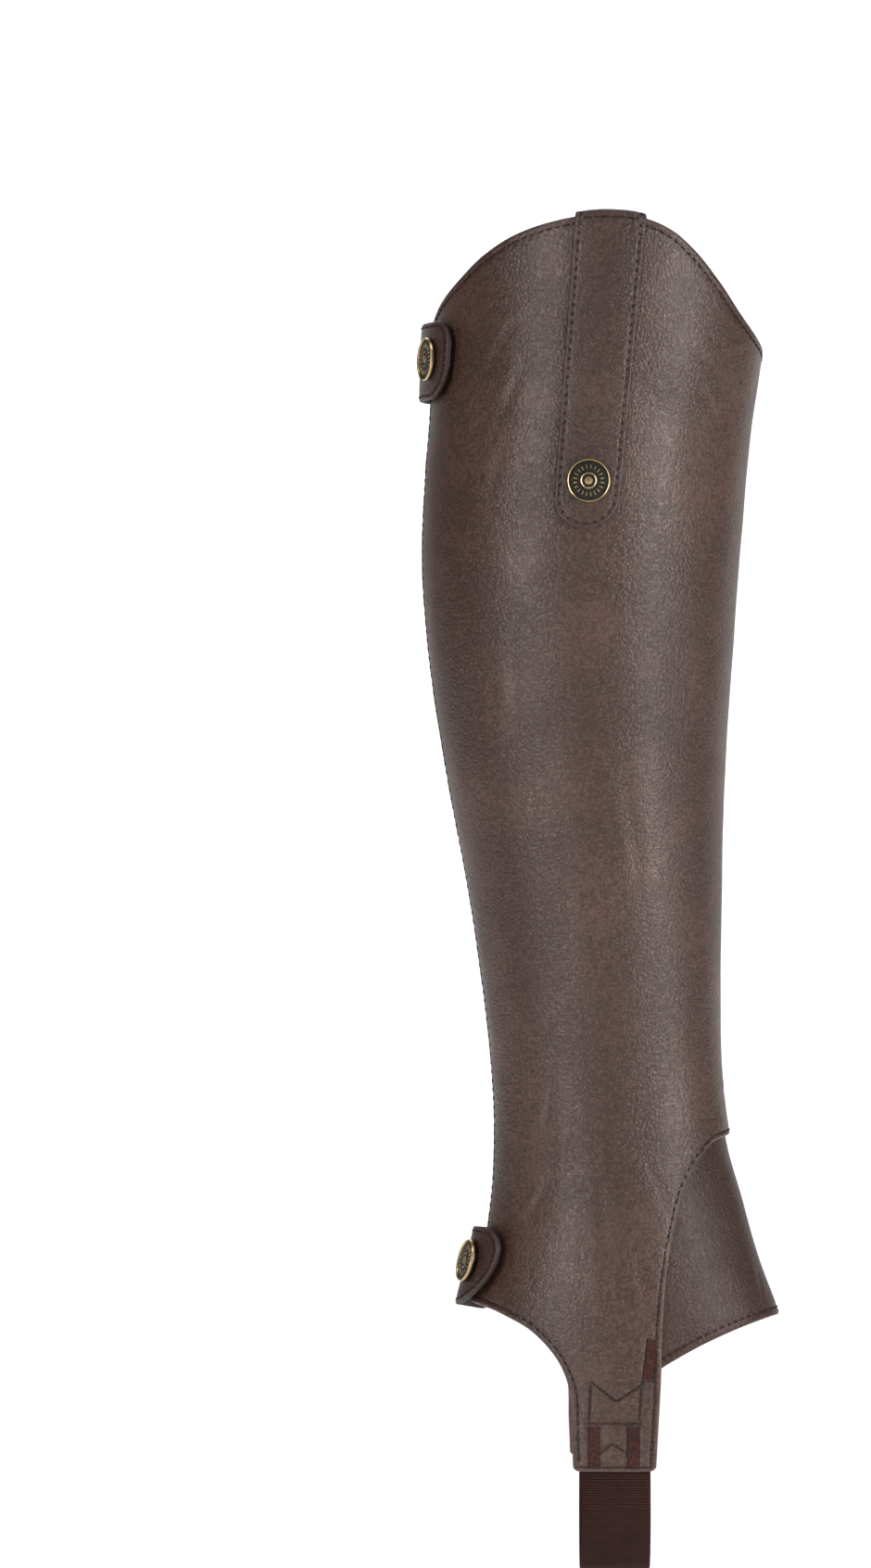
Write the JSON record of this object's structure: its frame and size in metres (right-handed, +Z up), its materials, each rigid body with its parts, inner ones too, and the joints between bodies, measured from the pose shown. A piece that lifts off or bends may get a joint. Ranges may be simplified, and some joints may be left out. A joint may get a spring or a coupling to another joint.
{
  "type": "half chap",
  "caption": "Half chap for the right leg: leather wrap with a suede inner calf, instep gusset, back zip, snap tabs and an elastic strap under the foot.",
  "frame": {"origin": "middle of the calf hollow at its widest level, where the wearer's leg holds the chap", "axes": "+X towards the toe, +Y towards the inner side of the leg, +Z up"},
  "size_m": [0.1307, 0.1087, 0.4879],
  "materials": {
    "leather": "brown grained leather, satin",
    "vamp_leather": "slightly darker and softer brown leather",
    "suede": "dark red-brown suede with a short nap",
    "lining": "charcoal woven lining",
    "elastic": "dark brown ribbed elastic",
    "zip_tape": "brown woven zip tape",
    "thread": "dark red-brown sewing thread",
    "antique_brass": "antique brass, darkened in the hollows"
  },
  "bodies": {
    "root": {"leather_wrap": "leather", "top_facing": "leather", "outer_strip": "leather", "upper_tab": "leather", "lower_tab": "leather", "vamp": "vamp_leather", "suede_calf": "suede", "lining": "lining", "elastic_strap": "elastic", "zip_tape_inner": "zip_tape", "zip_tape_outer": "zip_tape", "zip_chain": "antique_brass", "zip_slider": "antique_brass", "strip_cap": "antique_brass", "upper_snap_cap": "antique_brass", "upper_snap_stud": "antique_brass", "lower_snap_cap": "antique_brass", "lower_snap_stud": "antique_brass"}
  },
  "joints": []
}
